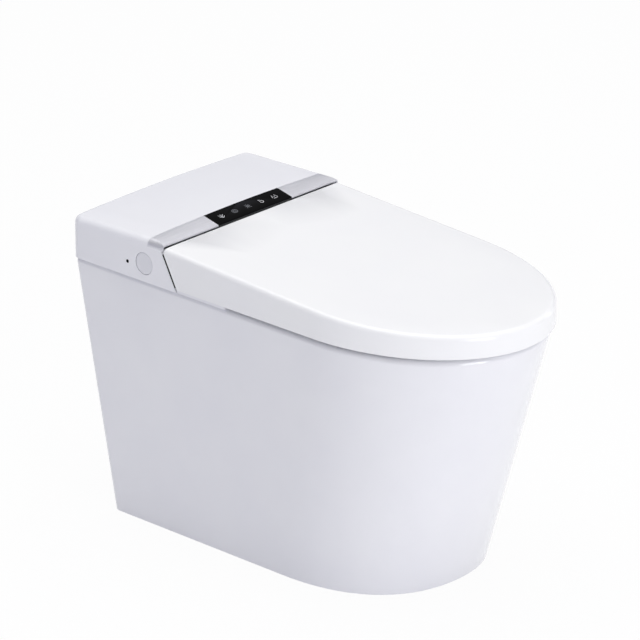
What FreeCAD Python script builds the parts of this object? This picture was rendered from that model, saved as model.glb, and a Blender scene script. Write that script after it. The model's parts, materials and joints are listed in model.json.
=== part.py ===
import FreeCAD, Part
import math
import os
from types import SimpleNamespace

import Sketcher
from FreeCAD import Placement, Rotation, Vector

# Smart toilet with a heated seat: a glazed one-piece ceramic base, a rear unit that holds the wash,
# flush and drying parts, and a seat and lid on one hinge line. Millimetres, +Z up, the user faces -Y.
# The origin is on the floor, at the middle of the whole object.

doc = FreeCAD.newDocument("SmartToilet")
sheet = doc.addObject("Spreadsheet::Sheet", "Sizes")

drivingSizes = {
    # whole object
    "overallLength": 736, "capWidth": 378, "rimHeight": 401,
    # ceramic base
    "rimInset": 3, "rimNoseInset": 8, "rimShoulder": -128, "rimFullness": 2.04,
    "footHalf": 164, "footBackInset": 54, "footShoulder": -39, "footNose": -236, "footFullness": 2.3,
    "chinaWall": 11, "deckThick": 12, "rimRound": 8, "baseCorner": 16,
    "bowlHalf": 116, "bowlBack": 28, "bowlNose": -292, "bowlWall": 9, "sumpDepth": 118, "sumpHalf": 40,
    "sumpY": -112, "trapBore": 48, "trapWall": 9, "trapWeir": 244, "riserY": 4, "trapZone": 36, "hornTop": 78,
    "outletFromBack": 308,
    "outletHeight": 15, "hornFlange": 92, "shelfHeight": 58, "shelfBack": 262, "windowHalf": 105,
    "windowLow": 75,
    "windowHigh": 330, "hatchHalf": 98, "hatchFront": 216, "hatchBack": 330,
    "notchHalf": 52, "notchBack": 168, "notchGap": 5, "spudHeight": 345, "spudBore": 16,
    # rear cover, trim strip and window
    "coverTopFront": 474, "coverTopBack": 470, "coverWall": 3, "coverCrown": 4, "coverRound": 12,
    "coverCorner": 18, "stripBack": 208, "stripFront": 177, "stripFrontTop": 467, "stripThick": 2.4,
    "stripWrap": 15, "seamGap": 0.6, "windowHalfWidth": 79, "windowOffset": 8, "windowThick": 1.4,
    "flankGap": 4.2,
    # lid
    "lidEdgeGap": 4.8, "lidNoseTop": 439.5, "lidWall": 2.6, "lidCrown": 3, "lidRound": 9, "lidShoulder": -120,
    "lidFullness": 2.02, "hingeRoll": 8, "rollGap": 1.8, "lidStripDrop": 0.5, "flankBottomSet": 18.7,
    "linerDepth": 6.6, "linerThick": 2, "padFit": 0.2, "linerBack": 45, "linerGap": 0.5,
    # seat
    "seatGap": 3.4, "seatSideGap": 4, "seatNoseGap": 9, "seatBottomGap": 5.3, "seatWall": 3.2,
    "seatBack": 140, "seatRound": 9, "holeHalf": 107, "holeBack": 36, "holeNose": -284, "seatSplit": 6,
    "seatArchHalf": 97, "seatArchTop": 438, "filmThick": 0.6, "filmGap": 0.2,
    "bumperRadius": 9, "bumperGap": 0.3,
    # hinge line
    "pinRadius": 2.5, "ringWall": 2.5, "runGap": 0.05, "sideGap": 1, "lugIn": 100, "lugWidth": 26,
    "towerWidth": 30, "towerDepth": 18, "towerSetBack": 4, "towerRise": 0.5, "cheekRise": 1.8,
    "lipSweep": 8.7,
    # chassis
    "plateThick": 4, "plateFront": 54, "plateInset": 3.6, "wingInset": 1.5, "boltSpread": 112, "boltY": 195,
    "boltRadius": 4, "screwRadius": 1.65, "screwHead": 3.5, "screwHeadHigh": 2.4,
    # wash unit
    "nozzleSlope": 13, "nozzleTipY": 95, "nozzleTipZ": 398, "nozzleRadius": 8, "nozzleLength": 236,
    "nozzleSpread": 13, "nozzleTravel": 110, "tipLength": 24, "gearModule": 1, "pinionTeeth": 14,
    "tubeBore": 9, "toothTop": 0.8, "toothRoot": 1, "backlash": 0.1, "shaftRadius": 1.5,
    "rackHeight": 2.4, "rackWidth": 6, "pinionAt": 112, "motorRadius": 13, "motorLength": 18,
    "trayWall": 2.5, "trayGap": 0.3, "trayFront": 30,
    # drying unit
    "ductIn": 54, "ductWidth": 40, "ductHeight": 22, "ductFront": 112, "ductWall": 2, "blowerRadius": 38,
    "blowerY": 276, "blowerHeight": 32, "fanRadius": 29, "fanHeight": 20, "fanBlades": 20,
    # knob and sensor
    "knobRadius": 17, "knobThick": 9, "knobY": 215, "knobZ": 430, "knobGap": 0.35, "knobTravel": 1.5,
    "stemRadius": 3, "sensorY": 249, "sensorZ": 425, "sensorRadius": 2.8,
    # connections in the rear bay
    "hoseX": -74, "hoseY": 234, "hoseRadius": 8, "inletY": 284, "inletRadius": 10.5, "inletLength": 24,
    "inletFlange": 14, "glandX": 39, "glandY": 312, "glandRadius": 6.5, "seatFit": 0.1,
    # boards, heater, fairing and deodoriser under the cover
    "seatGapSmall": 0.3, "caseWall": 1.6, "controlX": 133, "controlY": 198, "controlWide": 42,
    "controlLong": 152,
    "controlHigh": 34, "heaterY": 150, "heaterLong": 22, "heaterSlots": 9, "fairingFront": 107,
    "fairingLow": 14,
    "fairingHigh": 31, "fairingWall": 2, "deoX": -125, "deoY": 243, "deoRadius": 23, "deoHigh": 28,
    "filterY": 268,
    "filterLong": 14, "filterSlots": 8, "deoFanRadius": 18, "deoFanHigh": 12, "deoBlades": 9,
    # water path
    "valveHigh": 22, "boilerX": -150, "boilerY": 292, "boilerWide": 52, "boilerLong": 66, "boilerHigh": 38,
    "mixerX": -48, "mixerY": 246, "tankLeft": -120, "tankRight": 20, "tankFront": 140, "tankBack": 258,
    "tankTop": 330, "tankWall": 3, "suctionRadius": 10, "suctionHigh": 34, "pumpX": 76, "pumpY": 200,
    "flushRadius": 11,
}
for row, (alias, value) in enumerate(drivingSizes.items(), start=1):
    sheet.set(f"A{row}", alias)
    sheet.set(f"B{row}", str(value))
    sheet.setAlias(f"B{row}", alias)
doc.recompute()
d = SimpleNamespace(**{alias: float(sheet.get(alias)) for alias in drivingSizes})

# Places that follow from the driving sizes.
half = d.capWidth / 2
backY = d.overallLength / 2
noseY = -backY
deckZ = d.rimHeight
plateTop = deckZ + d.plateThick
lidBottom = deckZ + d.lidEdgeGap
seatBottom = deckZ + d.seatBottomGap
lidRearTop = d.stripFrontTop - d.lidStripDrop
hingeY = d.stripFront - d.rollGap - d.hingeRoll
hingeZ = lidRearTop - d.hingeRoll
ringRadius = d.pinRadius + d.ringWall
towerIn = d.lugIn + d.lugWidth + d.sideGap
bossIn = towerIn + d.towerWidth + d.sideGap
lidSlope = (lidRearTop - d.lidNoseTop) / (hingeY - noseY)
outletY = backY - d.outletFromBack
wide = 2 * half
farFront = 1.5 * noseY
farBack = 1.5 * backY

parts = []


def keep(shape, label, placement=None):
    """Adds a finished shape to the document as one named sub-part."""
    feature = doc.addObject("Part::Feature", label)
    feature.Label = label
    feature.Shape = shape.removeSplitter() if placement is None else shape
    if placement is not None:
        feature.Placement = placement
    parts.append(feature)
    return feature


def box(xLow, yLow, zLow, xHigh, yHigh, zHigh):
    return Part.makeBox(xHigh - xLow, yHigh - yLow, zHigh - zLow, Vector(xLow, yLow, zLow))


def cylinder(radius, length, base, axis=Vector(0, 0, 1)):
    return Part.makeCylinder(radius, length, base, axis)


def sideSlab(points, xLow, xHigh):
    """A prism along X of an outline of (y, z) points."""
    corners = [Vector(xLow, y, z) for y, z in points]
    face = Part.Face(Part.makePolygon(corners + corners[:1]))
    return face.extrude(Vector(xHigh - xLow, 0, 0))


def bezier(*poles):
    curve = Part.BezierCurve()
    curve.setPoles([Vector(*pole) for pole in poles])
    return curve.toShape()


def tightness(fullness):
    """How far a quarter curve's handles reach, for a superellipse of this exponent."""
    return (8 * 0.5 ** (1 / fullness) - 4) / 3


def outline(halfWidth, back, shoulder, nose, fullness, corner, z):
    """Plan outline: straight back with rounded corners, straight sides and a full round nose."""
    k = tightness(fullness)
    w, c, reach = halfWidth, corner, shoulder - nose
    cut = c * (1 - math.sqrt(0.5))
    edges = [
        Part.makeLine(Vector(w, shoulder, z), Vector(w, back - c, z)),
        Part.Arc(Vector(w, back - c, z), Vector(w - cut, back - cut, z), Vector(w - c, back, z)).toShape(),
        Part.makeLine(Vector(w - c, back, z), Vector(c - w, back, z)),
        Part.Arc(Vector(c - w, back, z), Vector(cut - w, back - cut, z), Vector(-w, back - c, z)).toShape(),
        Part.makeLine(Vector(-w, back - c, z), Vector(-w, shoulder, z)),
        bezier((-w, shoulder, z), (-w, shoulder - k * reach, z), (-k * w, nose, z), (0, nose, z)),
        bezier((0, nose, z), (k * w, nose, z), (w, shoulder - k * reach, z), (w, shoulder, z)),
    ]
    return Part.Wire(edges)


def oval(halfWidth, back, nose, z, fullness=2.15, split=0.42):
    """Egg-shaped outline of a bowl or seat opening, widest a little behind its middle."""
    k = tightness(fullness)
    w, mid = halfWidth, back - (back - nose) * split
    rear, front = back - mid, mid - nose
    edges = [
        bezier((w, mid, z), (w, mid + k * rear, z), (k * w, back, z), (0, back, z)),
        bezier((0, back, z), (-k * w, back, z), (-w, mid + k * rear, z), (-w, mid, z)),
        bezier((-w, mid, z), (-w, mid - k * front, z), (-k * w, nose, z), (0, nose, z)),
        bezier((0, nose, z), (k * w, nose, z), (w, mid - k * front, z), (w, mid, z)),
    ]
    return Part.Wire(edges)


def prism(wire, height):
    return Part.Face(wire).extrude(Vector(0, 0, height))


def arched(yFront, zFront, yBack, zBack, crown, floor):
    """A block whose top is crowned across X and falls evenly along Y."""
    wires = []
    for y, z in ((yFront, zFront), (yBack, zBack)):
        drop = crown * (wide / half) ** 2
        left, right = Vector(-wide, y, z - drop), Vector(wide, y, z - drop)
        low = [Vector(wide, y, floor), Vector(-wide, y, floor)]
        wires.append(Part.Wire([
            Part.Arc(left, Vector(0, y, z), right).toShape(),
            Part.makeLine(right, low[0]), Part.makeLine(low[0], low[1]), Part.makeLine(low[1], left)]))
    return Part.makeLoft(wires, True, True)


def roundTop(solid, radius, keepEdge):
    """Rounds the edges of a solid that the test picks."""
    edges = [edge for edge in solid.Edges if keepEdge(edge)]
    return solid.makeFillet(radius, edges)


# ---------------------------------------------------------------- ceramic base

def skirtSection(z, inset):
    """Outline of the skirt at a height: the foot and rim outlines, blended along straight lines."""
    t = z / d.rimHeight
    rim = (half - d.rimInset, backY, d.rimShoulder, noseY + d.rimNoseInset)
    foot = (d.footHalf, backY - d.footBackInset, d.footShoulder, d.footNose)
    w, back, shoulder, nose = [f + (r - f) * t for f, r in zip(foot, rim)]
    fullness = d.footFullness + (d.rimFullness - d.footFullness) * t
    return outline(w - inset, back - inset, shoulder, nose + inset, fullness, d.baseCorner - inset / 2, z)


def skirt(zLow, zHigh, inset=0.0):
    return Part.makeLoft([skirtSection(zLow, inset), skirtSection(zHigh, inset)], True, True)


def bowlForm(wall):
    """The bowl from its rim down to the sump; wall is added outside for the china's outer face."""
    top = deckZ + 1 if wall == 0 else deckZ - 1
    bottom = d.sumpDepth - wall
    sections = [(top, 1.0, 1.0), (deckZ - 30, 0.99, 0.99), (deckZ - 0.4 * (deckZ - bottom), 0.8, 0.72),
                (deckZ - 0.72 * (deckZ - bottom), 0.45, 0.28), (bottom, 0.0, 0.0)]
    wires = []
    for z, share, backShare in sections:
        w = d.sumpHalf + (d.bowlHalf - d.sumpHalf) * share
        back = d.sumpY + d.sumpHalf + (d.bowlBack - d.sumpY - d.sumpHalf) * backShare
        nose = d.sumpY - d.sumpHalf + (d.bowlNose - d.sumpY + d.sumpHalf) * share
        wires.append(oval(w + wall, back + wall, nose - wall, z))
    return Part.makeLoft(wires, True, False)


def trapway(radius):
    """The S-trap: from the sump back and up over the weir, then straight down to the outlet."""
    bend = (outletY - d.riserY) / 2
    start = Vector(0, d.sumpY, d.sumpDepth + 0.62 * d.trapBore)
    low = Vector(0, d.riserY, d.sumpDepth - 0.1 * d.trapBore)
    top = d.trapWeir
    entry = (start - low).normalize()
    turn = math.pi - entry.getAngle(Vector(0, 0, 1))
    lead = 0.8 * d.trapBore * math.tan(turn / 2)
    first = low + entry * lead
    second = low + Vector(0, 0, lead)
    middle = low + (first - low + second - low).normalize() * (
        0.8 * d.trapBore / math.cos(turn / 2) - 0.8 * d.trapBore)
    middleY, crownZ = d.riserY + bend, top - bend
    path = Part.Wire([
        Part.makeLine(start, first),
        Part.Arc(first, middle, second).toShape(),
        Part.makeLine(second, Vector(0, d.riserY, crownZ)),
    ])
    section = Part.Wire(Part.makeCircle(radius, start, entry * -1))
    rise = path.makePipeShell([section], True, False)
    rise = rise.reversed() if rise.Volume < 0 else rise
    disc = Part.Face(Part.Wire(Part.makeCircle(radius, Vector(0, outletY, crownZ))))
    disc = disc.common(box(-wide, middleY, 0, wide, farBack, 2 * deckZ)).Faces[0]
    crown = disc.revolve(Vector(0, middleY, crownZ), Vector(1, 0, 0), 180)
    fall = cylinder(radius, crownZ - d.outletHeight, Vector(0, outletY, d.outletHeight))
    return rise.fuse([crown, fall])


def notchLine(y):
    """Floor of the channel that the wash nozzles run out through."""
    slope = math.radians(d.nozzleSlope)
    rise = (y - d.nozzleTipY) * math.tan(slope)
    return d.nozzleTipZ + rise - (d.nozzleRadius + d.notchGap) / math.cos(slope)


def makeBase():
    """The one-piece casting, shared out over nodes along flat faces so that each node stays simple."""
    outer = skirt(0, deckZ)
    outer = roundTop(outer, d.rimRound, lambda e: e.BoundBox.ZMin > deckZ - 0.01)
    shell = outer.cut(skirt(-1, deckZ - d.deckThick, d.chinaWall))
    bowl = bowlForm(0)
    notch = sideSlab([(d.bowlBack - 40, deckZ + 1), (d.bowlBack - 40, notchLine(d.bowlBack - 40)),
                      (d.notchBack, notchLine(d.notchBack)), (d.notchBack, deckZ + 1)],
                     -d.notchHalf, d.notchHalf)
    notchFloor = sideSlab([(d.bowlBack - 5, deckZ - 2), (d.bowlBack - 5,
                                                         notchLine(d.bowlBack - 5) - d.bowlWall),
                           (d.notchBack, notchLine(d.notchBack) - d.bowlWall), (d.notchBack, deckZ - 2)],
                          -d.notchHalf - d.bowlWall, d.notchHalf + d.bowlWall)
    spudEnd = d.bowlBack + 2.5 * d.bowlWall
    spud = cylinder(d.spudBore, spudEnd - d.bowlBack + 8, Vector(0, d.bowlBack - 8, d.spudHeight),
                    Vector(0, 1, 0))
    spudBore = cylinder(d.spudBore / 2, 60, Vector(0, spudEnd - 60, d.spudHeight), Vector(0, 1, 0))
    horn = cylinder(d.hornFlange / 2, d.chinaWall * 1.5, Vector(0, outletY, d.outletHeight))
    inside = bowlForm(d.bowlWall).fuse([trapway(d.trapBore / 2 + d.trapWall), horn, notchFloor, spud])
    inside = inside.cut(bowl).cut(trapway(d.trapBore / 2)).cut([notch, spudBore])

    split = deckZ - d.deckThick
    above = box(-wide, farFront, split, wide, farBack, 2 * deckZ)
    below = box(-wide, farFront, -1, wide, farBack, split)
    hatch = box(-d.hatchHalf, d.hatchFront, split - 5, d.hatchHalf, d.hatchBack, deckZ + 1)
    bolts = [cylinder(d.boltRadius + 1, 2 * d.deckThick, Vector(side * d.boltSpread, d.boltY, split - 5))
             for side in (-1, 1)]
    deck = shell.common(above).fuse(inside.common(above)).cut([bowl, notch, hatch] + bolts)
    keep(deck, "ceramic_deck")
    window = box(-d.windowHalf, backY - 2 * d.footBackInset, d.windowLow, d.windowHalf, farBack, d.windowHigh)
    keep(shell.common(below).cut(window), "ceramic_base")

    core = inside.common(below)
    middle = (outletY + d.riserY) / 2
    top = d.trapWeir + d.trapBore
    outletZone = box(-d.hornFlange, middle, 0, d.hornFlange, 2 * outletY, top).fuse(
        box(-d.hornFlange, 0, 0, d.hornFlange, 2 * outletY, d.hornTop))
    riserZone = box(-d.trapZone, -d.trapZone, d.hornTop, d.trapZone, middle, top)
    keep(core.common(outletZone), "ceramic_outlet")
    keep(core.common(riserZone), "ceramic_trapway")
    keep(core.cut([outletZone, riserZone]), "ceramic_bowl")
    shelfFront = outletY + d.trapBore / 2 + d.trapWall + 0.5
    shelf = skirt(d.shelfHeight - d.chinaWall, d.shelfHeight, d.chinaWall)
    keep(shelf.common(box(-wide, shelfFront, 0, wide, d.shelfBack, deckZ)), "ceramic_shelf")


makeBase()


# ---------------------------------------------------------------- rear cover, strip and window

def coverBody(inset):
    """The cover's outer form, drawn in by inset on every face."""
    top = (d.coverTopFront - d.coverTopBack) / (backY - d.stripBack)
    crest = arched(0, d.coverTopFront + top * d.stripBack - inset, farBack,
                   d.coverTopBack - top * (farBack - backY) - inset, d.coverCrown, 0)
    plan = outline(half - inset, backY - inset, 0, noseY, 2, d.coverCorner - inset, deckZ + d.seamGap)
    body = prism(plan, 200).common(crest).common(box(-wide, 100, 0, wide, farBack, 2 * deckZ))
    body = roundTop(body, d.coverRound - inset,
                    lambda e: e.BoundBox.ZMin > deckZ + 20 and e.BoundBox.YMax > 110
                    and not (e.BoundBox.YMax - e.BoundBox.YMin < 1 and abs(e.BoundBox.YMax - 100) < 1))
    fall = (d.coverTopFront - d.stripFrontTop) / (d.stripBack - d.stripFront)
    far = d.stripBack - 150
    facet = sideSlab([(d.stripBack, d.coverTopFront - inset), (d.stripBack, 600), (far, 600),
                      (far, d.coverTopFront - inset - 150 * fall)], -wide, wide)
    return body.cut(facet)


coverOuter = coverBody(0.0)
stripZone = box(-wide, d.stripFront, d.coverTopFront - d.stripWrap, wide, d.stripBack, 2 * deckZ)
stripSolid = coverOuter.cut(coverBody(d.stripThick)).common(stripZone)
windowZone = box(d.windowOffset - d.windowHalfWidth, d.stripFront - 1, deckZ,
                 d.windowOffset + d.windowHalfWidth, d.stripBack + 1, 2 * deckZ)
windowSolid = coverOuter.cut(coverBody(d.windowThick)).common(stripZone).common(windowZone)


def makeCover():
    frontWall = d.stripFront + 1
    shell = coverOuter.cut(stripSolid)
    main = coverBody(d.coverWall).common(box(-wide, d.stripBack + 3, 0, wide, farBack, 2 * deckZ))
    under = coverBody(d.coverWall + d.stripThick).common(
        box(-wide, frontWall + d.coverWall, 0, wide, d.stripBack + 3.01, 2 * deckZ))
    cavity = main.fuse(under).fuse(
        main.common(box(-wide, 0, 0, wide, farBack, deckZ + 20)).translated(Vector(0, 0, -15)))
    lowPart = box(-wide, 0, 0, wide, farBack, deckZ + 20)
    cavity = cavity.fuse(under.common(lowPart).translated(Vector(0, 0, -15)))
    shell = shell.cut(cavity)
    pocket = box(d.coverWall + 0.5 - half, 0, 0, half - d.coverWall - 0.5, frontWall, 2 * deckZ)
    shell = shell.cut(pocket)
    slope = flankSlope()
    low = flankFoot() + d.flankGap
    shell = shell.cut(sideSlab([(low, lidBottom), (low + slope * 100, lidBottom + 100), (0, lidBottom + 100),
                                (0, 0), (low - slope * lidBottom, 0)], -wide, wide))
    ports = box(-d.notchHalf, d.stripFront - 5, 0, d.ductIn + d.ductWidth + 3, frontWall + 5, deckZ + 46)
    knobHole = cylinder(d.knobRadius + d.knobGap, 30, Vector(-half - 5, d.knobY, d.knobZ), Vector(1, 0, 0))
    eye = cylinder(d.sensorRadius, 30, Vector(-half - 5, d.sensorY, d.sensorZ), Vector(1, 0, 0))
    overPlate = box(d.coverWall - half, 150, 0, half - d.coverWall, d.stripBack + 4,
                   plateTop + 0.3)
    shell = shell.cut([ports, knobHole, eye, overPlate])
    for x, y in screwSpots():
        post = cylinder(5, 30, Vector(x, y, plateTop + 0.2)).cut(cylinder(1.7, 20, Vector(x, y, plateTop)))
        shell = shell.fuse(post)
    keep(shell, "rear_cover")


def flankFoot():
    """Where the lid's slanted flank edge meets its lower edge."""
    return hingeY - d.flankBottomSet


def flankSlope():
    """Forward run of the lid's flank edge for each millimetre of height, tangent to the hinge roll."""
    run, rise = d.flankBottomSet, hingeZ - lidBottom
    lean = math.atan2(rise, run) - math.asin(d.hingeRoll / math.hypot(run, rise))
    return 1 / math.tan(lean)


def screwSpots():
    x = half - d.coverWall - 4.5
    return [(-x, d.stripBack + 62), (-x, backY - 22), (x, d.stripBack + 62), (x, backY - 22)]


makeCover()
keep(stripSolid.cut(windowSolid), "trim_strip")
keep(windowSolid, "display_window")


# ---------------------------------------------------------------- lid

def lidTop(y):
    return lidRearTop - lidSlope * (hingeY - y)


def crest(drop, crown):
    """The block under the lid's sloping crowned top, lowered by drop."""
    return arched(farFront, lidTop(farFront) - drop, farBack, lidTop(farBack) - drop, crown, 0)


def lidForm(inset):
    plan = outline(half - inset, farBack, d.lidShoulder, noseY + inset, d.lidFullness, 10, lidBottom - 20)
    body = prism(plan, 200).common(crest(inset, d.lidCrown))
    return roundTop(body, d.lidRound - inset,
                    lambda e: e.BoundBox.ZMin > deckZ + 5 and e.BoundBox.YMin < backY
                    and e.BoundBox.ZMax - e.BoundBox.ZMin < 60)


def rollProfile(radius, footY, footZ, slope):
    """The lid's side profile: a slanted rear edge, a roll about the hinge line and a level top."""
    lean = math.atan2(1, slope)
    tangent = Vector(0, hingeY + radius * math.sin(lean), hingeZ - radius * math.cos(lean))
    top = Vector(0, hingeY, hingeZ + radius)
    middle = Vector(0, hingeY + radius * math.cos(0.6), hingeZ + radius * math.sin(0.6))
    points = [Vector(0, farFront, hingeZ + radius), Vector(0, farFront, footZ), Vector(0, footY, footZ)]
    wire = Part.Wire([
        Part.makeLine(points[2], tangent),
        Part.Arc(tangent, middle, top).toShape(), Part.makeLine(top, points[0]),
        Part.makeLine(points[0], points[1]), Part.makeLine(points[1], points[2])])
    face = Part.Face(wire)
    face.translate(Vector(-wide, 0, 0))
    return face.extrude(Vector(2 * wide, 0, 0))


lidOuter = lidForm(0.0).common(rollProfile(d.hingeRoll, flankFoot(), lidBottom, flankSlope()))


def makeLid():
    inner = lidForm(d.lidWall).cut(box(-wide, hingeY, hingeZ - 3, wide, farBack, 2 * deckZ))
    core = d.hingeRoll - d.lidWall
    lip = cylinder(core, 2 * (half - d.lidWall), Vector(d.lidWall - half, hingeY, hingeZ), Vector(1, 0, 0))
    under = box(d.lidWall - half, hingeY - core, hingeZ - 2 * core, half - d.lidWall, hingeY + core, hingeZ)
    shell = lidOuter.cut([inner, lip, under])
    for side in (-1, 1):
        low = bossIn if side > 0 else -half
        boss = cylinder(d.hingeRoll, half - bossIn, Vector(low, hingeY, hingeZ), Vector(1, 0, 0))
        shell = shell.fuse(boss.common(lidOuter.fuse(box(-half + 1, hingeY - 9, hingeZ - 9, half - 1,
                                                         hingeY + 9, hingeZ))))
    reach = half - d.lidRound + 1
    bore = cylinder(d.pinRadius + d.runGap, 2 * reach, Vector(-reach, hingeY, hingeZ), Vector(1, 0, 0))
    keep(shell.cut(bore), "lid_shell")


def linerSlab():
    inset = d.lidWall + d.linerGap
    plan = outline(half - inset, hingeY - d.linerBack, d.lidShoulder, noseY + inset, d.lidFullness, 10,
                   lidBottom)
    slab = crest(d.linerDepth, d.lidCrown).cut(crest(d.linerDepth + d.linerThick, d.lidCrown))
    return prism(plan, 200).common(slab)


makeLid()
linerSolid = linerSlab()
keep(linerSolid, "lid_liner")


def padAt(x, y, zLow, zHigh, radius):
    return cylinder(radius, zHigh - zLow, Vector(x, y, zLow))


def makeLidBumpers():
    pads = []
    for x, y in ((-135, 60), (135, 60), (-95, -270), (95, -270)):
        pad = padAt(x, y, deckZ, 2 * deckZ, d.bumperRadius)
        gap = crest(d.linerDepth + d.linerThick + d.padFit, d.lidCrown).cut(
            crest(d.linerDepth + d.linerThick + d.seatGap - d.bumperGap, d.lidCrown))
        pads.append(pad.common(gap))
    keep(Part.makeCompound(pads), "lid_bumpers")


makeLidBumpers()


# ---------------------------------------------------------------- seat

seatDrop = d.linerDepth + d.linerThick + d.seatGap


def seatForm(inset):
    """The seat ring's form, drawn in by inset on its top, outside and inside."""
    side = d.lidWall + d.seatSideGap + inset
    plan = outline(half - side, d.seatBack - inset, d.lidShoulder, noseY + d.seatNoseGap + inset,
                   d.lidFullness, 20, deckZ)
    body = prism(plan, 200).common(crest(seatDrop + inset, d.lidCrown))
    hole = prism(oval(d.holeHalf + inset, d.holeBack + inset, d.holeNose - inset, deckZ - 1), 200)
    body = body.cut(hole)
    arch = box(-d.seatArchHalf - inset, d.holeBack + 10 - inset, 0, d.seatArchHalf + inset, farBack,
               d.seatArchTop + inset)
    body = roundTop(body, d.seatRound - inset,
                    lambda e: e.BoundBox.ZMin > deckZ + 5 and e.BoundBox.ZMax - e.BoundBox.ZMin < 40
                    and e.BoundBox.XMax - e.BoundBox.XMin > 1)
    return body.cut(arch)


def makeSeat():
    split = seatBottom + d.seatSplit
    form = seatForm(0.0)
    upper = form.common(box(-wide, farFront, split, wide, farBack, 2 * deckZ))
    bridge = box(-d.seatArchHalf - d.seatWall, d.holeBack - 8, 0, d.seatArchHalf + d.seatWall, farBack,
                 2 * deckZ)
    cavity = seatForm(d.seatWall).cut(bridge)
    upper = upper.cut(cavity)
    arms = []
    for side in (-1, 1):
        low = d.lugIn if side > 0 else -d.lugIn - d.lugWidth
        arm = sideSlab([(hingeY - 3.5, hingeZ - 3.5), (hingeY - 3.5, hingeZ + 2.5),
                        (d.seatBack - 6, hingeZ - 10), (d.seatBack - 6, hingeZ - 34)], low, low + d.lugWidth)
        ring = cylinder(ringRadius, d.lugWidth, Vector(low, hingeY, hingeZ), Vector(1, 0, 0))
        bore = cylinder(d.pinRadius + d.runGap, d.lugWidth, Vector(low, hingeY, hingeZ), Vector(1, 0, 0))
        arms.append(arm.fuse(ring).cut(bore))
    keep(upper.fuse(arms), "seat_top")
    lower = form.common(box(-wide, farFront, seatBottom, wide, farBack, split))
    keep(lower, "seat_bottom")
    film = seatForm(d.seatWall + d.filmGap).cut(seatForm(d.seatWall + d.filmGap + d.filmThick))
    film = film.cut(bridge).common(box(-wide, farFront, split + 6, wide, d.seatBack - 8, 2 * deckZ))
    keep(max(film.Solids, key=lambda solid: solid.Volume), "heating_film")
    pads = [padAt(x, y, deckZ + d.bumperGap, seatBottom, d.bumperRadius)
            for x, y in ((-150, 25), (150, 25), (-110, -265), (110, -265))]
    keep(Part.makeCompound(pads), "seat_bumpers")


makeSeat()


# ---------------------------------------------------------------- sketch-based sub-parts

def cell(expression):
    return float(sheet.evalExpression(expression.replace("Sizes.", "")))


def startBody(label, placement):
    body = doc.addObject("PartDesign::Body", label)
    body.Label = label
    body.Placement = placement
    parts.append(body)
    return body


def sketchOn(body, role, name, corners):
    """A closed outline whose corners are held at distances bound to the sheet."""
    sketch = body.newObject("Sketcher::SketchObject", name)
    plane = next(item for item in body.Origin.OriginFeatures if item.Role == role)
    sketch.AttachmentSupport = [(plane, "")]
    sketch.MapMode = "FlatFace"
    points = [Vector(cell(u), cell(v), 0) for u, v in corners]
    count = len(points)
    for i, point in enumerate(points):
        sketch.addGeometry(Part.LineSegment(point, points[(i + 1) % count]), False)
    for i in range(count):
        sketch.addConstraint(Sketcher.Constraint("Coincident", i, 2, (i + 1) % count, 1))
    for i, (corner, point) in enumerate(zip(corners, points)):
        for kind, letter, text, value, axis in (("DistanceX", "u", corner[0], point.x, -2),
                                                ("DistanceY", "v", corner[1], point.y, -1)):
            if text == "0":
                sketch.addConstraint(Sketcher.Constraint("PointOnObject", i, 1, axis))
                continue
            index = sketch.addConstraint(Sketcher.Constraint(kind, -1, 1, i, 1, value))
            sketch.renameConstraint(index, f"{letter}{i}")
            sketch.setExpression(f"Constraints.{letter}{i}", text)
    return sketch


def turned(label, corners, placement):
    """A turned piece: (radius, height) corners revolved about the local Z axis."""
    body = startBody(label, placement)
    sketch = sketchOn(body, "XZ_Plane", label + "_profile", corners)
    revolution = body.newObject("PartDesign::Revolution", label + "_turn")
    revolution.Profile = sketch
    revolution.ReferenceAxis = (sketch, ["V_Axis"])
    revolution.Angle = 360
    body.Tip = revolution
    return body


def at(x, y, z, axis=Vector(0, 0, 1), angle=0):
    return Placement(Vector(x, y, z), Rotation(axis, angle))


alongX = Rotation(Vector(0, 1, 0), 90)
alongMinusX = Rotation(Vector(0, 1, 0), -90)


# ---------------------------------------------------------------- chassis and hinge line

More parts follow.
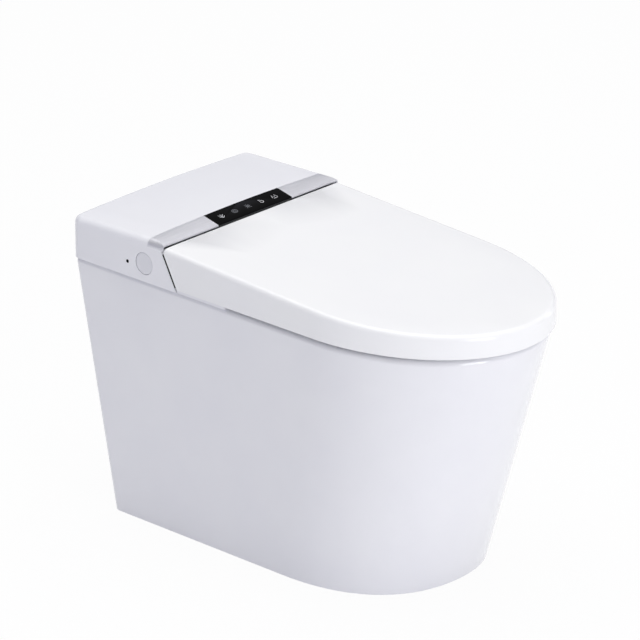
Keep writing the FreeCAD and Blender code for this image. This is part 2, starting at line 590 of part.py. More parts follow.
def makeChassis():
    rear = prism(outline(half - d.plateInset, backY - d.plateInset, 0, noseY, 2,
                         d.coverCorner - d.plateInset, deckZ),
                 d.plateThick)
    wingBack = flankFoot() + d.flankGap - flankSlope() * d.lidEdgeGap - 1
    plate = rear.common(box(-wide, d.plateFront, 0, wide, farBack, 2 * deckZ))
    plate = plate.fuse(box(d.wingInset - half, d.plateFront, deckZ, half - d.wingInset, wingBack, plateTop))
    notch = box(-trayHalf - 2, 0, 0, trayHalf + 2, d.notchBack + 16, 2 * deckZ)
    plate = plate.cut(notch)
    holes = [cylinder(d.boltRadius + 0.4, 20, Vector(side * d.boltSpread, d.boltY,
                                                     deckZ - 5)) for side in (-1, 1)]
    for x, y in screwSpots():
        holes.append(cylinder(d.screwRadius + 0.4, 20, Vector(x, y, deckZ - 5)))
        holes.append(cylinder(d.screwHead + 0.2, d.screwHeadHigh + 0.1, Vector(x, y, deckZ)))
    for x, y, radius in ((d.hoseX, d.hoseY, d.hoseRadius + 1), (d.hoseX, d.inletY, d.inletRadius + d.seatFit),
                         (d.glandX, d.glandY, d.glandRadius + d.seatFit)):
        holes.append(cylinder(radius, 20, Vector(x, y, deckZ - 5)))
    plate = plate.cut(holes)
    for side in (-1, 1):
        low = towerIn if side > 0 else -towerIn - d.towerWidth
        tower = box(low, hingeY - d.towerSetBack - d.towerDepth, plateTop - 0.1, low + d.towerWidth,
                    hingeY - d.towerSetBack, hingeZ + d.towerRise)
        saddle = cylinder(ringRadius + d.runGap, d.towerWidth, Vector(low, hingeY, hingeZ), Vector(1, 0, 0))
        cheek = sideSlab([(hingeY - 9, hingeZ - 3.2), (hingeY - 9, hingeZ + d.cheekRise),
                          (hingeY, hingeZ + d.cheekRise), (hingeY, hingeZ - 3.2)], low, low + d.towerWidth)
        swept = cylinder(d.lipSweep, d.towerWidth, Vector(low, hingeY, hingeZ), Vector(1, 0, 0)).common(
            box(-wide, 0, 0, wide, farBack, hingeZ - 3.2))
        plate = plate.fuse(tower.fuse(cheek).cut([saddle, swept]))
    keep(plate, "chassis_base")


trayHalf = d.nozzleSpread + d.nozzleRadius + d.trayGap + d.trayWall
makeChassis()

damperCorners = [
    ("0", "0"), ("Sizes.pinRadius", "0"), ("Sizes.pinRadius", "Sizes.lugWidth + Sizes.sideGap - 1"),
    ("Sizes.pinRadius + Sizes.ringWall", "Sizes.lugWidth + Sizes.sideGap - 1"),
    ("Sizes.pinRadius + Sizes.ringWall", "Sizes.lugWidth + Sizes.sideGap + Sizes.towerWidth - 1"),
    ("Sizes.pinRadius", "Sizes.lugWidth + Sizes.sideGap + Sizes.towerWidth - 1"),
    ("Sizes.pinRadius", "Sizes.capWidth / 2 - Sizes.lidRound - 1 - Sizes.lugIn"),
    ("0", "Sizes.capWidth / 2 - Sizes.lidRound - 1 - Sizes.lugIn"),
]
turned("seat_hinge_damper", damperCorners, Placement(Vector(d.lugIn + 1, hingeY, hingeZ), alongX))
turned("lid_hinge_damper", damperCorners, Placement(Vector(-d.lugIn - 1, hingeY, hingeZ), alongMinusX))


def makeBolts():
    bolts = []
    for side in (-1, 1):
        x = side * d.boltSpread
        head = cylinder(1.8 * d.boltRadius, d.boltRadius, Vector(x, d.boltY, plateTop))
        shank = cylinder(d.boltRadius, plateTop - deckZ + d.deckThick + 12,
                         Vector(x, d.boltY, deckZ - d.deckThick - 12))
        nut = cylinder(2 * d.boltRadius, 6, Vector(x, d.boltY, deckZ - d.deckThick - 6))
        bolts.append(head.fuse([shank, nut]).removeSplitter())
    keep(Part.makeCompound(bolts), "chassis_bolts")
    screws = []
    for x, y in screwSpots():
        head = cylinder(d.screwHead, d.screwHeadHigh, Vector(x, y, deckZ))
        screws.append(head.fuse(cylinder(d.screwRadius, 20, Vector(x, y, deckZ))).removeSplitter())
    keep(Part.makeCompound(screws), "cover_screws")


makeBolts()


# ---------------------------------------------------------------- wash unit

nozzleFrame = Placement(Vector(0, d.nozzleTipY, d.nozzleTipZ), Rotation(Vector(1, 0, 0), d.nozzleSlope))
pitchRadius = d.gearModule * d.pinionTeeth / 2
rackPitch = d.nozzleRadius + d.rackHeight
pinionZ = rackPitch + pitchRadius
pitch = math.pi * d.gearModule


def makeTray():
    inner = trayHalf - d.trayWall
    floor = -d.nozzleRadius - d.trayGap
    rib = d.nozzleSpread - d.nozzleRadius - d.trayGap
    corners = [(-trayHalf, floor - d.trayWall), (trayHalf, floor - d.trayWall), (trayHalf, 6), (inner, 6),
               (inner, floor), (rib, floor), (rib, 0), (-rib, 0), (-rib, floor), (-inner, floor), (-inner, 6),
               (-trayHalf, 6)]
    points = [Vector(x, d.trayFront, z) for x, z in corners]
    tray = Part.Face(Part.makePolygon(points + points[:1])).extrude(Vector(0,
                                                                           d.nozzleLength + 4 - d.trayFront,
                                                                           0))
    for side in (-1, 1):
        low = inner if side > 0 else -trayHalf
        plate = box(low, d.pinionAt - d.motorRadius - 2, 5, low + d.trayWall, d.pinionAt + d.motorRadius + 2,
                    pinionZ + d.motorRadius + 1)
        hole = cylinder(d.shaftRadius + 0.5, 20, Vector(low - 5, d.pinionAt, pinionZ), Vector(1, 0, 0))
        tray = tray.fuse(plate).cut(hole)
    tray = tray.transformed(nozzleFrame.toMatrix())
    legs = []
    for side in (-1, 1):
        low = side * (trayHalf - d.trayWall / 2) - d.trayWall / 2
        top = d.nozzleTipZ - 6
        tangent = math.tan(math.radians(d.nozzleSlope))
        line = lambda y: top + (y - d.nozzleTipY) * tangent
        legs.append(sideSlab([(d.notchBack + 20, plateTop), (d.notchBack + 20, line(d.notchBack + 20)),
                              (300, line(300)), (300, plateTop)], low, low + d.trayWall))
    keep(tray.fuse(legs), "nozzle_tray")


def involute(base, radius):
    """Polar angle of an involute's point at this radius."""
    t = math.sqrt(max((radius / base) ** 2 - 1, 0))
    return t - math.atan(t)


def pinionWire():
    """Outline of the pinion in its own plane, one tooth pointing along -Z."""
    base = pitchRadius * math.cos(math.radians(20))
    tip, root = pitchRadius + d.toothTop * d.gearModule, pitchRadius - d.toothRoot * d.gearModule
    halfTooth = (pitch / 2 - d.backlash) / 2 / pitchRadius
    points = []
    for tooth in range(int(d.pinionTeeth)):
        centre = -math.pi / 2 + 2 * math.pi * tooth / d.pinionTeeth
        flank = []
        for radius in (root, base, (base + tip) / 2, tip):
            spread = halfTooth + involute(base, pitchRadius) - involute(base, max(radius, base))
            flank.append((radius, spread))
        for radius, spread in flank:
            points.append((radius, centre - spread))
        for radius, spread in reversed(flank):
            points.append((radius, centre + spread))
    corners = [Vector(0, r * math.cos(a), r * math.sin(a)) for r, a in points]
    return Part.makePolygon(corners + corners[:1])


def rackSolid():
    """Rack bar that sits on the nozzle tube; its teeth leave a gap under the pinion's lowest tooth."""
    tan = math.tan(math.radians(20))
    top, root = rackPitch + d.toothTop * d.gearModule, rackPitch - d.toothRoot * d.gearModule
    halfTooth = (pitch / 2 - d.backlash) / 2
    first = d.pinionAt - 2.5 * pitch
    count = int((d.nozzleTravel + 7 * pitch) / pitch)
    points = [(first - pitch / 2, root)]
    for tooth in range(count):
        centre = first + tooth * pitch
        points += [(centre - halfTooth - tan * d.toothRoot, root),
                   (centre - halfTooth + tan * d.toothTop, top),
                   (centre + halfTooth - tan * d.toothTop, top),
                   (centre + halfTooth + tan * d.toothRoot, root)]
    end = first + (count - 0.5) * pitch
    points += [(end, root), (end, d.nozzleRadius / 2), (first - pitch / 2, d.nozzleRadius / 2)]
    bar = sideSlab(points, -d.rackWidth / 2, d.rackWidth / 2)
    return bar.cut(cylinder(d.nozzleRadius, 2 * d.nozzleLength, Vector(0, -10, 0), Vector(0, 1, 0)))


def makeNozzle(name, side):
    """One wash nozzle: tube, spray tip, rack, pinion and stepper motor."""
    x = side * d.nozzleSpread
    tubePlace = nozzleFrame.multiply(Placement(Vector(x, d.nozzleLength, 0), Rotation(Vector(1, 0, 0), 90)))
    turned(name + "_nozzle_tube", [
        ("Sizes.tubeBore / 2", "0"), ("Sizes.nozzleRadius", "0"),
        ("Sizes.nozzleRadius", "Sizes.nozzleLength - Sizes.tipLength"),
        ("Sizes.tubeBore / 2", "Sizes.nozzleLength - Sizes.tipLength")], tubePlace)
    tip = cylinder(d.nozzleRadius, d.tipLength, Vector(0, 0, 0), Vector(0, 1, 0))
    tip = tip.makeFillet(2.5, [e for e in tip.Edges if e.BoundBox.YMax < 0.01])
    holes = 3 if side < 0 else 5
    for n in range(holes):
        tip = tip.cut(cylinder(0.7, 20, Vector((n - (holes - 1) / 2) * 2, 9 + (n % 2) * 2.5, 2)))
    tip = tip.cut(box(-4, 5, d.nozzleRadius - 0.8, 4, 16, d.nozzleRadius + 1))
    keep(tip, name + "_nozzle_tip", nozzleFrame.multiply(at(x, 0, 0)))
    keep(rackSolid(), name + "_nozzle_rack", nozzleFrame.multiply(at(x, 0, 0)))
    wheel = Part.Face(pinionWire()).extrude(Vector(d.rackWidth, 0, 0))
    wheel = wheel.translated(Vector(-d.rackWidth / 2, 0, 0))
    shaftLength = trayHalf + 2 - d.nozzleSpread + d.rackWidth / 2
    low = -d.rackWidth / 2 if side > 0 else d.rackWidth / 2 - shaftLength
    shaft = cylinder(d.shaftRadius, shaftLength, Vector(low, 0, 0), Vector(1, 0, 0))
    keep(wheel.fuse(shaft), name + "_drive_pinion", nozzleFrame.multiply(at(x, d.pinionAt, pinionZ)))
    face = Vector(side * trayHalf, d.pinionAt, pinionZ)
    turned(name + "_nozzle_motor", [
        ("Sizes.shaftRadius + Sizes.runGap", "0"), ("Sizes.motorRadius", "0"),
        ("Sizes.motorRadius", "Sizes.motorLength"), ("0", "Sizes.motorLength"), ("0", "3"),
        ("Sizes.shaftRadius + Sizes.runGap", "3")],
        nozzleFrame.multiply(Placement(face, alongX if side > 0 else alongMinusX)))


makeTray()
makeNozzle("rear", 1)
makeNozzle("front", -1)


# ---------------------------------------------------------------- drying unit

blowerX = d.ductIn + d.blowerRadius
blowerFloor = plateTop
fanFloor = blowerFloor + d.ductWall + 2


def makeDuct():
    right = d.ductIn + d.ductWidth
    top = plateTop + d.ductHeight
    back = d.blowerY
    duct = box(d.ductIn, d.ductFront, plateTop, right, back - d.blowerRadius / 2, top)
    bore = box(d.ductIn + d.ductWall, d.ductFront - 1, plateTop + d.ductWall, right - d.ductWall, back,
               top - d.ductWall)
    case = cylinder(d.blowerRadius, d.blowerHeight, Vector(blowerX, back, blowerFloor))
    case = case.fuse(box(d.ductIn, back - d.blowerRadius / 2, plateTop, right, back, top))
    drum = cylinder(d.blowerRadius - d.ductWall, d.blowerHeight - 2 * d.ductWall,
                    Vector(blowerX, back, blowerFloor + d.ductWall))
    eye = cylinder(0.5 * d.blowerRadius, 20, Vector(blowerX, back, blowerFloor + d.blowerHeight - 10))
    case = case.cut([drum, eye, bore, duct])
    duct = duct.cut([bore, drum])
    duct = duct.cut(cylinder(d.blowerRadius, d.blowerHeight, Vector(blowerX, back, blowerFloor)))
    for x in (d.ductIn - 2, right):
        ear = box(x, flapY - 2.5, top - 5, x + 2, d.ductFront + 4, top + 2)
        duct = duct.fuse(ear.cut(cylinder(1 + d.runGap, 10, Vector(x - 4, flapY, flapZ), Vector(1, 0, 0))))
    keep(duct, "dryer_duct")
    keep(case, "blower_case")


def makeFlap():
    right = d.ductIn + d.ductWidth
    panel = box(d.ductIn + 0.5, flapY - 1, plateTop + 1, right - 0.5, flapY + 1, flapZ)
    barrel = cylinder(1.8, d.ductWidth - 1, Vector(d.ductIn + 0.5, flapY, flapZ), Vector(1, 0, 0))
    pin = cylinder(1, d.ductWidth + 3.6, Vector(d.ductIn - 1.8, flapY, flapZ), Vector(1, 0, 0))
    keep(panel.fuse([barrel, pin]), "dryer_flap")


def makeFan(radius, hub, height, blades, tilt):
    """A bladed rotor on the local Z axis: cup hub, floor disc and leaning blades."""
    disc = cylinder(radius, 1.5, Vector(0, 0, 0))
    cup = cylinder(hub, height, Vector(0, 0, 0)).cut(cylinder(hub - 1.5, height - 1.5, Vector(0, 0, -0.01)))
    rotor = disc.cut(cylinder(hub - 1.5, 5, Vector(0, 0, -1))).fuse(cup)
    inner = 0.76 * radius
    for n in range(int(blades)):
        blade = Part.makeBox(radius - inner, 1, height - 1, Vector(inner, -0.5, 0.5))
        blade.rotate(Vector(inner, 0, 0), Vector(0, 0, 1), tilt)
        blade.rotate(Vector(0, 0, 0), Vector(0, 0, 1), 360 * n / blades)
        rotor = rotor.fuse(blade)
    shaft = cylinder(d.shaftRadius, height - 4, Vector(0, 0, 3))
    return rotor.fuse(shaft).common(cylinder(radius, height, Vector(0, 0, 0)))


flapY = d.ductFront - 2.3
flapZ = plateTop + d.ductHeight - 1.5
makeDuct()
makeFlap()
keep(makeFan(d.fanRadius, 0.56 * d.fanRadius, d.fanHeight, d.fanBlades, 35), "dryer_fan",
     at(blowerX, d.blowerY, fanFloor))
turned("dryer_motor", [
    ("0", "0"), ("Sizes.fanRadius * 0.56 - 2.5", "0"), ("Sizes.fanRadius * 0.56 - 2.5",
                                                        "Sizes.fanHeight - 2"),
    ("Sizes.shaftRadius + Sizes.runGap", "Sizes.fanHeight - 2"), ("Sizes.shaftRadius + Sizes.runGap", "2"),
    ("0", "2")], at(blowerX, d.blowerY, plateTop + d.ductWall))


# ---------------------------------------------------------------- knob and sensor

knobFace = -half
turned("knob_stem", [("0", "0"), ("Sizes.stemRadius", "0"), ("Sizes.stemRadius", "24"), ("0", "24")],
       Placement(Vector(knobFace + 4, d.knobY, d.knobZ), alongX))
turned("control_knob", [
    ("0", "0"), ("Sizes.knobRadius - 1.2", "0"), ("Sizes.knobRadius", "1.2"),
    ("Sizes.knobRadius", "Sizes.knobThick"),
    ("Sizes.stemRadius + Sizes.runGap", "Sizes.knobThick"), ("Sizes.stemRadius + Sizes.runGap", "3.5"),
    ("0", "3.5")],
    Placement(Vector(knobFace, d.knobY, d.knobZ), alongX))


def makeEncoder():
    left = knobFace + d.knobThick + d.knobTravel + 2.5
    block = box(left, d.knobY - 12, plateTop, left + 22, d.knobY + 12, d.knobZ + 12)
    bore = cylinder(d.stemRadius + d.runGap, 30, Vector(left - 10, d.knobY, d.knobZ), Vector(1, 0, 0))
    keep(block.cut(bore), "knob_encoder")
    lens = cylinder(d.sensorRadius - 0.05, d.coverWall + 2, Vector(-half, d.sensorY, d.sensorZ),
                    Vector(1, 0, 0))
    keep(lens, "sensor_lens")
    left = -half + d.coverWall + 2
    keep(box(left, d.sensorY - 9, plateTop, left + 1.6, d.sensorY + 9, d.sensorZ + 10), "sensor_board")


makeEncoder()

# ---------------------------------------------------------------- connections

pointDown = Rotation(Vector(1, 0, 0), 180)
turned("water_inlet", [
    ("Sizes.inletRadius - 3", "0"), ("Sizes.inletFlange", "0"), ("Sizes.inletFlange", "5"),
    ("Sizes.inletRadius - 1", "5"), ("Sizes.inletRadius - 1", "6 + Sizes.plateThick"),
    ("Sizes.inletRadius", "6 + Sizes.plateThick"), ("Sizes.inletRadius",
                                                    "5 + Sizes.plateThick + Sizes.inletLength"),
    ("Sizes.inletRadius - 3", "5 + Sizes.plateThick + Sizes.inletLength")],
    Placement(Vector(d.hoseX, d.inletY, plateTop + 5), pointDown))
turned("power_gland", [
    ("Sizes.glandRadius - 2.5", "0"), ("Sizes.glandRadius + 4", "0"), ("Sizes.glandRadius + 4", "4"),
    ("Sizes.glandRadius", "4"), ("Sizes.glandRadius", "22"), ("Sizes.glandRadius - 2.5", "22")],
    Placement(Vector(d.glandX, d.glandY, plateTop + 4), pointDown))

# ---------------------------------------------------------------- bound solids

def bound(kind, label, expressions):
    """A Part primitive whose sizes and place are bound to the sheet."""
    feature = doc.addObject("Part::" + kind, label)
    feature.Label = label
    for path, text in expressions.items():
        feature.setExpression(path, text)
    return feature


def boundBox(label, place, size):
    paths = ("Placement.Base.x", "Placement.Base.y", "Placement.Base.z", "Length", "Width", "Height")
    return bound("Box", label, dict(zip(paths, list(place) + list(size))))


def boundCylinder(label, radius, height, place):
    paths = ("Placement.Base.x", "Placement.Base.y", "Placement.Base.z", "Radius", "Height")
    return bound("Cylinder", label, dict(zip(paths, list(place) + [radius, height])))


def cutFrom(label, base, tool):
    cut = doc.addObject("Part::Cut", label)
    cut.Label = label
    cut.Base = base
    cut.Tool = tool
    return cut


# ---------------------------------------------------------------- boards and control box

floorOf = "Sizes.rimHeight + Sizes.plateThick"


def makeControlBox():
    wall = "Sizes.caseWall"
    outer = boundBox("control_box_outer", ("Sizes.controlX", "Sizes.controlY", floorOf),
                     ("Sizes.controlWide", "Sizes.controlLong", "Sizes.controlHigh"))
    inner = boundBox("control_box_inner", (f"Sizes.controlX + {wall}", f"Sizes.controlY + {wall}",
                                           f"{floorOf} + {wall}"),
                     (f"Sizes.controlWide - 2 * {wall}", f"Sizes.controlLong - 2 * {wall}",
                      "Sizes.controlHigh"))
    parts.append(cutFrom("control_box", outer, inner))
    x, y = d.controlX + d.caseWall, d.controlY + d.caseWall
    low = plateTop + d.caseWall
    board = box(x + 1, y + 1, low + 4, x + d.controlWide - 2 * d.caseWall - 1,
                y + d.controlLong - 2 * d.caseWall - 1,
                low + 5.6)
    extras = []
    for dx, dy in ((4, 4), (d.controlWide - 8, 4), (4, d.controlLong - 8),
                   (d.controlWide - 8, d.controlLong - 8)):
        extras.append(cylinder(2, 4, Vector(x + dx, y + dy, low)))
    for dx, dy, radius, high in ((12, 20, 6, 18), (26, 22, 5, 14), (13, 42, 4, 12)):
        extras.append(cylinder(radius, high, Vector(x + dx, y + dy, low + 5.6)))
    for dx, dy, wide, deep, high in ((8, 60, 24, 18, 14), (6, 90, 10, 34, 9), (22, 92, 12, 12, 2),
                                     (22, 112, 8, 8, 2),
                                     (5, 136, 30, 8, 8)):
        extras.append(box(x + dx, y + dy, low + 5.6, x + dx + wide, y + dy + deep, low + 5.6 + high))
    keep(board.fuse(extras), "main_board")


def makeDisplayBoard():
    fall = math.atan2(d.coverTopFront - d.stripFrontTop, d.stripBack - d.stripFront)

    def under(y, depth):
        return d.stripFrontTop + (y - d.stripFront) * math.tan(fall) - depth / math.cos(fall)

    low, high = d.stripFront + 6.5, d.stripBack - 4
    top = d.coverWall + d.stripThick + d.seatGapSmall
    board = sideSlab([(low, under(low, top)), (high, under(high, top)), (high, under(high, top + 1.6)),
                      (low, under(low, top + 1.6))],
                     d.windowOffset + 4 - d.windowHalfWidth, d.windowOffset + d.windowHalfWidth - 4)
    keep(board, "display_board")


makeControlBox()
makeDisplayBoard()


# ---------------------------------------------------------------- dryer heater and nozzle fairing

def makeHeater():
    gap = d.seatGapSmall
    left, right = d.ductIn + d.ductWall + gap, d.ductIn + d.ductWidth - d.ductWall - gap
    low, top = plateTop + d.ductWall + gap, plateTop + d.ductHeight - d.ductWall - gap
    block = box(left, d.heaterY, low, right, d.heaterY + d.heaterLong, top)
    pitch = (right - left) / d.heaterSlots
    slots = [box(left + (n + 0.25) * pitch, d.heaterY - 1, low + 2, left + (n + 0.75) * pitch,
                 d.heaterY + d.heaterLong + 1, top - 2) for n in range(int(d.heaterSlots))]
    keep(block.cut(slots), "dryer_heater")


def makeFairing():
    left, right = -d.notchHalf + 2, d.notchHalf - 0.5
    profile = [(d.fairingFront, plateTop), (d.fairingFront, plateTop + d.fairingLow),
               (d.fairingFront + 14, plateTop + d.fairingHigh),
               (d.stripFront + 0.7, plateTop + d.fairingHigh),
               (d.stripFront + 0.7, plateTop)]
    wall = d.fairingWall
    inside = [(0, 0), (0, plateTop + d.fairingLow - wall),
              (d.fairingFront + wall, plateTop + d.fairingLow - wall),
              (d.fairingFront + 14, plateTop + d.fairingHigh - wall),
              (d.stripBack, plateTop + d.fairingHigh - wall),
              (d.stripBack, 0)]
    hood = sideSlab(profile, left, right).cut(sideSlab(inside, left + wall, right - wall))
    keep(hood, "nozzle_fairing")


makeHeater()
makeFairing()


# ---------------------------------------------------------------- deodoriser

def makeDeodoriser():
    x, y = d.deoX, d.deoY
    shell = cylinder(d.deoRadius, d.deoHigh, Vector(x, y, plateTop))
    shell = shell.fuse(box(x - d.deoRadius, y, plateTop, x + d.deoRadius, d.filterY - 0.2,
                           plateTop + d.deoHigh))
    room = cylinder(d.deoRadius - d.caseWall, d.deoHigh - 2 * d.caseWall, Vector(x, y, plateTop + d.caseWall))
    way = box(x - d.deoRadius + d.caseWall, y, plateTop + d.caseWall, x + d.deoRadius - d.caseWall,
              d.filterY + 1,
              plateTop + d.deoHigh - d.caseWall)
    eye = cylinder(0.5 * d.deoRadius, 10, Vector(x, y, plateTop + d.deoHigh - 5))
    hub = cylinder(4, 4, Vector(x, y, plateTop + d.caseWall)).cut(
        cylinder(d.shaftRadius + d.runGap, 8, Vector(x, y, plateTop + d.caseWall)))
    keep(shell.cut([room, way, eye]).fuse(hub), "deodoriser_case")
    filterBlock = box(x - d.deoRadius, d.filterY, plateTop, x + d.deoRadius, d.filterY + d.filterLong,
                      plateTop + d.deoHigh)
    pitch = 2 * d.deoRadius / d.filterSlots
    slots = [box(x - d.deoRadius + (n + 0.3) * pitch, d.filterY - 1, plateTop + 2,
                 x - d.deoRadius + (n + 0.7) * pitch, d.filterY + d.filterLong + 1, plateTop + d.deoHigh - 2)
             for n in range(int(d.filterSlots))]
    keep(filterBlock.cut(slots), "carbon_filter")
    fan = makeFan(d.deoFanRadius, 0.5 * d.deoFanRadius, d.deoFanHigh, d.deoBlades, 30)
    spindle = cylinder(d.shaftRadius, 9, Vector(0, 0, -4))
    keep(fan.fuse(spindle), "deodoriser_fan", at(x, y, plateTop + d.caseWall + 5))


makeDeodoriser()


# ---------------------------------------------------------------- water path

def pipeAlong(points, radius, bend, bore=0.0):
    """A round pipe along straight runs with one bend radius at every corner."""
    def sweep(r):
        edges = []
        last = points[0]
        for before, corner, after in zip(points, points[1:], points[2:]):
            a, b = (before - corner).normalize(), (after - corner).normalize()
            half = a.getAngle(b) / 2
            lead = bend / math.tan(half)
            middle = corner + (a + b).normalize() * (bend / math.sin(half) - bend)
            edges += [Part.makeLine(last, corner + a * lead),
                      Part.Arc(corner + a * lead, middle, corner + b * lead).toShape()]
            last = corner + b * lead
        edges.append(Part.makeLine(last, points[-1]))
        start = Part.Wire(Part.makeCircle(r, points[0], points[1] - points[0]))
        solid = Part.Wire(edges).makePipeShell([start], True, False)
        return solid.reversed() if solid.Volume < 0 else solid
    pipe = sweep(radius)
    return pipe.cut(sweep(bore)) if bore else pipe


def makeWaterPath():
    valveLow = plateTop + 5
    x, y = d.hoseX, d.inletY
    body = box(x - 15, y - 14, valveLow, x + 15, y + 14, valveLow + 20)
    coil = cylinder(11, d.valveHigh, Vector(x, y, valveLow + 20))
    stub = cylinder(d.hoseRadius, 6, Vector(x, y - 20, valveLow + 9), Vector(0, 1, 0))
    bore = cylinder(d.hoseRadius - 2, 16, Vector(x, y - 20, valveLow + 9), Vector(0, 1, 0))
    keep(body.fuse([coil, stub]).cut(bore), "inlet_valve")
    route = [Vector(x, d.hoseY, d.tankTop + 8), Vector(x, d.hoseY, valveLow + 9),
             Vector(x, y - 20.2, valveLow + 9)]
    keep(pipeAlong(route, d.hoseRadius, 18, d.hoseRadius - 2), "fill_hose")
    heater = box(d.boilerX, d.boilerY, plateTop, d.boilerX + d.boilerWide, d.boilerY + d.boilerLong,
                 plateTop + d.boilerHigh)
    heater = heater.makeFillet(6, [e for e in heater.Edges if e.BoundBox.ZLength > 0.9 * d.boilerHigh])
    ports = [cylinder(4, 8, Vector(d.boilerX + d.boilerWide, d.boilerY + dy, plateTop + 12), Vector(1, 0, 0))
             for dy in (38, 50)]
    keep(heater.fuse(ports), "water_heater")
    turned("distribution_valve", [
        ("0", "0"), ("14", "0"), ("14", "16"), ("12", "17"), ("12", "30"), ("9", "32"), ("9", "44"),
        ("0", "44")],
        at(d.mixerX, d.mixerY, plateTop))


def makeFlush():
    low = d.shelfHeight
    tank = box(d.tankLeft, d.tankFront, low, d.tankRight, d.tankBack, d.tankTop)
    tank = tank.makeFillet(12, [e for e in tank.Edges if e.BoundBox.ZLength > 100])
    tank = tank.makeFillet(6, [e for e in tank.Edges if e.BoundBox.ZMin > d.tankTop - 1])
    w = d.tankWall
    room = box(d.tankLeft + w, d.tankFront + w, low + w, d.tankRight - w, d.tankBack - w, d.tankTop - w)
    neck = cylinder(d.hoseRadius + 3, 8, Vector(d.hoseX, d.hoseY, d.tankTop - 0.1))
    mouth = cylinder(d.hoseRadius - 2, 30, Vector(d.hoseX, d.hoseY, d.tankTop - 10))
    outlet = cylinder(d.suctionRadius - 2, 20, Vector(d.tankRight - 10, d.pumpY, low + d.suctionHigh),
                      Vector(1, 0, 0))
    keep(tank.cut(room).fuse(neck).cut([mouth, outlet]), "flush_tank")
    volute = cylinder(32, 24, Vector(d.pumpX - 28, d.pumpY, low + d.suctionHigh), Vector(1, 0, 0))
    motor = cylinder(25, 52, Vector(d.pumpX - 4, d.pumpY, low + d.suctionHigh), Vector(1, 0, 0))
    foot = box(d.pumpX - 26, d.pumpY - 28, low, d.pumpX + 44, d.pumpY + 28, low + 10)
    spout = cylinder(d.flushRadius, 44, Vector(d.pumpX - 16, d.pumpY - 20, low + d.suctionHigh))
    neck = cylinder(d.suctionRadius, d.pumpX - 28 - d.tankRight, Vector(d.tankRight + 0.1, d.pumpY,
                    low + d.suctionHigh), Vector(1, 0, 0))
    eye = cylinder(d.suctionRadius - 2, d.pumpX - 20 - d.tankRight, Vector(d.tankRight, d.pumpY,
                   low + d.suctionHigh), Vector(1, 0, 0))
    keep(volute.fuse([motor, foot, spout, neck]).cut(eye), "flush_pump")
    spudEnd = d.bowlBack + 2.5 * d.bowlWall
    top = low + d.suctionHigh + 44.2
    route = [Vector(d.pumpX - 16, d.pumpY - 20, top), Vector(d.pumpX - 16, d.pumpY - 20, d.spudHeight),
             Vector(0, d.pumpY - 20, d.spudHeight), Vector(0, spudEnd + 0.2, d.spudHeight)]
    keep(pipeAlong(route, d.flushRadius, 26, d.flushRadius - 2.5), "flush_hose")
    turned("floor_gasket", [
        ("Sizes.trapBore / 2 + 2", "0"), ("Sizes.hornFlange / 2 - 2", "0"),
        ("Sizes.hornFlange / 2", "Sizes.outletHeight - 0.2"),
        ("Sizes.trapBore / 2 + 2", "Sizes.outletHeight - 0.2")],
        at(0, outletY, 0))


makeWaterPath()
makeFlush()

doc.recompute()
for feature in parts:
    shape = feature.Shape
    if "Invalid" in feature.State or "Error" in feature.State or shape.isNull() or not shape.isValid():
        raise ValueError(f"{feature.Label} did not build")
    print(feature.Label, len(shape.Solids), round(shape.Volume / 1000, 1))
os.makedirs("parts", exist_ok=True)
for feature in parts:
    feature.Shape.exportStep(f"parts/{feature.Label}.step")
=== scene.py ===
import json
import math

import bpy
import bmesh
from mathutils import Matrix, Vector


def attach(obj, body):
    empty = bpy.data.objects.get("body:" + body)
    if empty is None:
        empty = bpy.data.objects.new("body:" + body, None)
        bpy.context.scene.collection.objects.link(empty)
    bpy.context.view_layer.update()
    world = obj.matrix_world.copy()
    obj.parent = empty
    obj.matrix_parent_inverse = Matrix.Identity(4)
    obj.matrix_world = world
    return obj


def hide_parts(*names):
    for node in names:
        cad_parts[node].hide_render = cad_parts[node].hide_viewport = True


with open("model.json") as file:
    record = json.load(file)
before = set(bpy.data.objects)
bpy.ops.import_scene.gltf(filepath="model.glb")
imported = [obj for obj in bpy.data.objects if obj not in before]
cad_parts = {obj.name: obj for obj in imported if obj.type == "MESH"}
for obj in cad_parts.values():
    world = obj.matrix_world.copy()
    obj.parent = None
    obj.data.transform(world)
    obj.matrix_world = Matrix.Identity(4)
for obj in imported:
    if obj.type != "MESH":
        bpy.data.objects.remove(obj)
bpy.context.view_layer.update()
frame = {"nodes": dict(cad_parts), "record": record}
nodes = frame["nodes"]
bodyOf = {name: body for body, names in frame["record"]["behaviour"]["bodies"].items()
          for name in names}
print("frame loaded:", len(nodes), "nodes")

scene = bpy.context.scene
scene.view_settings.view_transform = "Standard"


# camera, placed where the perspective and the outlines of the object agree

cameraView = {"place": (-5.3342, -4.9083, 3.3191), "azimuth": -47.154, "elevation": 22.314,
              "lens": 300.4, "sensor": 36, "reach": 100}


def makeCamera(settings):
    azimuth = math.radians(settings["azimuth"])
    elevation = math.radians(settings["elevation"])
    ahead = Vector((-math.sin(azimuth) * math.cos(elevation),
                    math.cos(azimuth) * math.cos(elevation), -math.sin(elevation)))
    data = bpy.data.cameras.new("studioCamera")
    data.lens = settings["lens"]
    data.sensor_width = settings["sensor"]
    data.clip_end = settings["reach"]
    camera = bpy.data.objects.new("studioCamera", data)
    camera.location = settings["place"]
    camera.rotation_euler = ahead.to_track_quat("-Z", "Y").to_euler()
    scene.collection.objects.link(camera)
    scene.camera = camera


makeCamera(cameraView)
print("camera set")


# colours and nodes

def linearColour(hexText):
    channels = [int(hexText[i:i + 2], 16) / 255 for i in (0, 2, 4)]
    return [c / 12.92 if c <= 0.04045 else ((c + 0.055) / 1.055) ** 2.4 for c in channels] + [1.0]


def patternScale(millimetres):
    # how often a pattern of this size repeats in a metre
    return 1000 / millimetres


